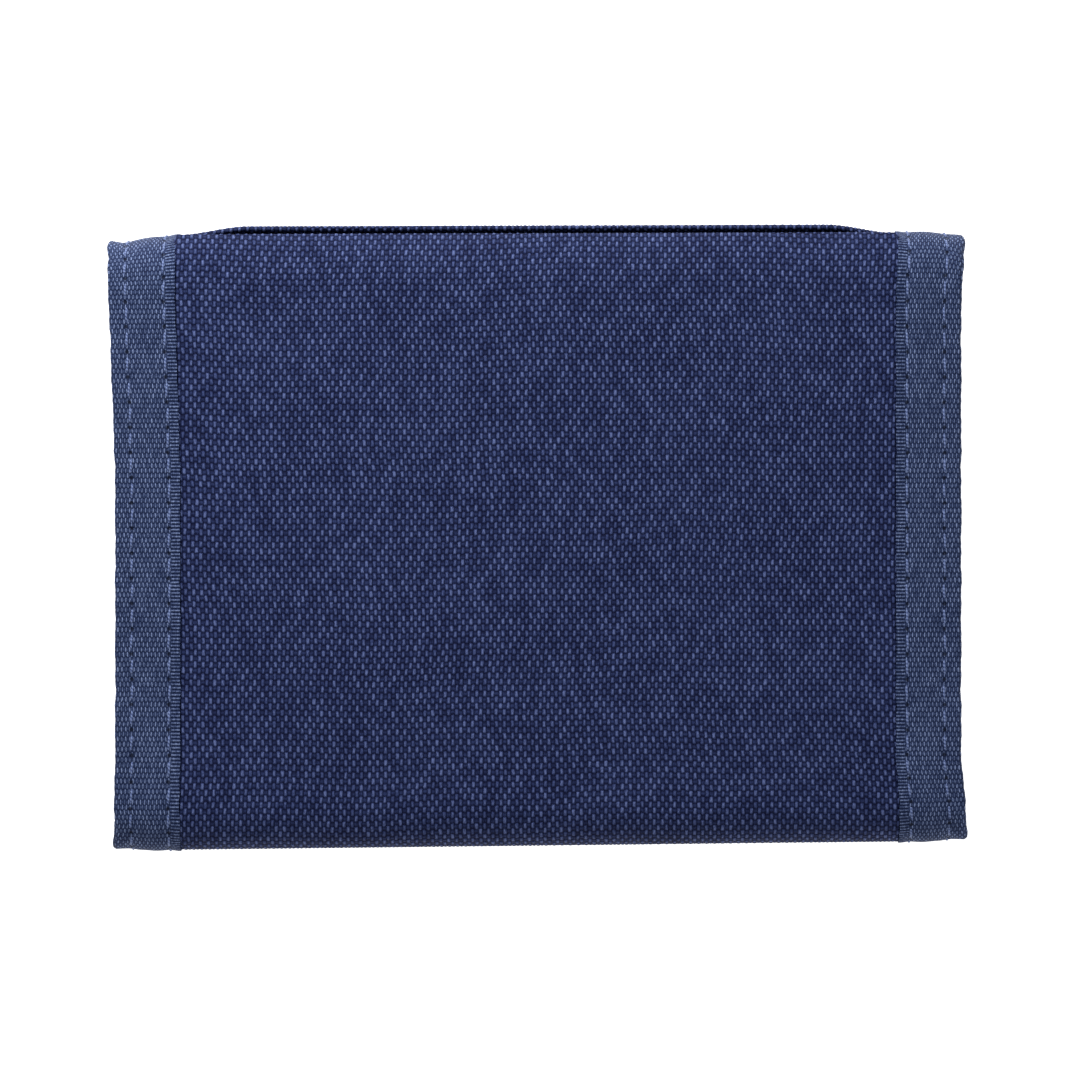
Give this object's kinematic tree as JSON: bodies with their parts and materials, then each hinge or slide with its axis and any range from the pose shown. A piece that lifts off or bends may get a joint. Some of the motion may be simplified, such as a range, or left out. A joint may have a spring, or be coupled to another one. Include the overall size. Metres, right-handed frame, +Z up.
{
  "type": "trifold wallet",
  "caption": "Folding wallet of woven polyester with taped edges, a bill compartment, card pockets, a clear card window and a zipped coin pocket; closes with hook and loop strips.",
  "frame": {"origin": "centre of the closed wallet on the surface it lies on, at the outer face of the front flap", "axes": "+X along the folds, +Y from the bottom fold to the top fold of the back panel, +Z up through the thickness, out of the back panel"},
  "size_m": [0.13, 0.094, 0.018],
  "materials": {
    "shell_cloth": "coarse plain-weave navy polyester, matt with a slight sheen",
    "webbing": "fine twill binding tape in a greyer, lighter blue",
    "thread": "light blue polyester sewing thread",
    "lining_cloth": "fine woven dark navy nylon",
    "hook_tape": "nylon hook tape",
    "loop_tape": "brushed nylon loop tape",
    "zipper_cloth": "woven zipper tape",
    "zipper_coil": "nylon coil",
    "zipper_metal": "nickel-plated, lightly worn",
    "clear_vinyl": "soft clear vinyl sheet"
  },
  "bodies": {
    "flap": {"flap_shell": "shell_cloth", "flap_lining": "lining_cloth", "id_window_frame": "lining_cloth", "id_window": "clear_vinyl", "hook_strip": "hook_tape", "flap_end_binding": "webbing", "flap_binding_left": "webbing", "flap_binding_right": "webbing", "flap_thread_left_outer": "thread", "flap_thread_left_inner": "thread", "flap_thread_right_outer": "thread", "flap_thread_right_inner": "thread"},
    "top_spine": {"top_fold_shell": "shell_cloth", "top_fold_binding_left": "webbing", "top_fold_binding_right": "webbing"},
    "back_panel": {"back_shell": "shell_cloth", "bill_divider": "lining_cloth", "card_backing": "lining_cloth", "card_pocket_1": "lining_cloth", "card_pocket_2": "lining_cloth", "card_pocket_3": "lining_cloth", "back_binding_left": "webbing", "back_binding_right": "webbing", "back_thread_left_outer": "thread", "back_thread_left_inner": "thread", "back_thread_right_outer": "thread", "back_thread_right_inner": "thread"},
    "bottom_spine": {"bottom_fold_shell": "shell_cloth", "bottom_fold_lining": "lining_cloth", "bottom_fold_binding_left": "webbing", "bottom_fold_binding_right": "webbing"},
    "inner_panel": {"inner_shell": "shell_cloth", "inner_lining": "lining_cloth", "loop_strip": "loop_tape", "coin_panel_lower": "lining_cloth", "coin_panel_upper": "lining_cloth", "zipper_tape_lower": "zipper_cloth", "zipper_tape_upper": "zipper_cloth", "zipper_coil_lower": "zipper_coil", "zipper_coil_upper": "zipper_coil", "zipper_stop_open": "zipper_metal", "zipper_stop_closed": "zipper_metal", "inner_end_binding": "webbing", "inner_binding_left": "webbing", "inner_binding_right": "webbing", "inner_thread_left_outer": "thread", "inner_thread_left_inner": "thread", "inner_thread_right_outer": "thread", "inner_thread_right_inner": "thread"},
    "slider": {"zipper_slider": "zipper_metal"},
    "pull": {"zipper_pull": "zipper_metal"}
  },
  "joints": [
    {"name": "top_fold_lower", "type": "hinge", "parent": "flap", "child": "top_spine", "pos_m": [0, 0.0466, 0.0004], "axis": [-1, 0, 0], "range_deg": [0, 90]},
    {"name": "top_fold_upper", "type": "hinge", "parent": "top_spine", "child": "back_panel", "pos_m": [0, 0.0466, 0.0176], "axis": [-1, 0, 0], "range_deg": [0, 90]},
    {"name": "bottom_fold_upper", "type": "hinge", "parent": "back_panel", "child": "bottom_spine", "pos_m": [0, -0.0466, 0.0176], "axis": [-1, 0, 0], "range_deg": [0, 90]},
    {"name": "bottom_fold_lower", "type": "hinge", "parent": "bottom_spine", "child": "inner_panel", "pos_m": [0, -0.0466, 0.004], "axis": [-1, 0, 0], "range_deg": [0, 90]},
    {"name": "zipper_slide", "type": "slide", "parent": "inner_panel", "child": "slider", "axis": [1, 0, 0], "range_m": [-0.09, 0]},
    {"name": "pull_swivel", "type": "hinge", "parent": "slider", "child": "pull", "pos_m": [0.044, -0.01, 0.011], "axis": [0, 0, 1], "range_deg": [-35, 35]}
  ],
  "couplings": [
    {"joint": "top_fold_upper", "follows": "top_fold_lower", "ratio": 1},
    {"joint": "bottom_fold_upper", "follows": "top_fold_lower", "ratio": 1},
    {"joint": "bottom_fold_lower", "follows": "top_fold_lower", "ratio": 1}
  ]
}
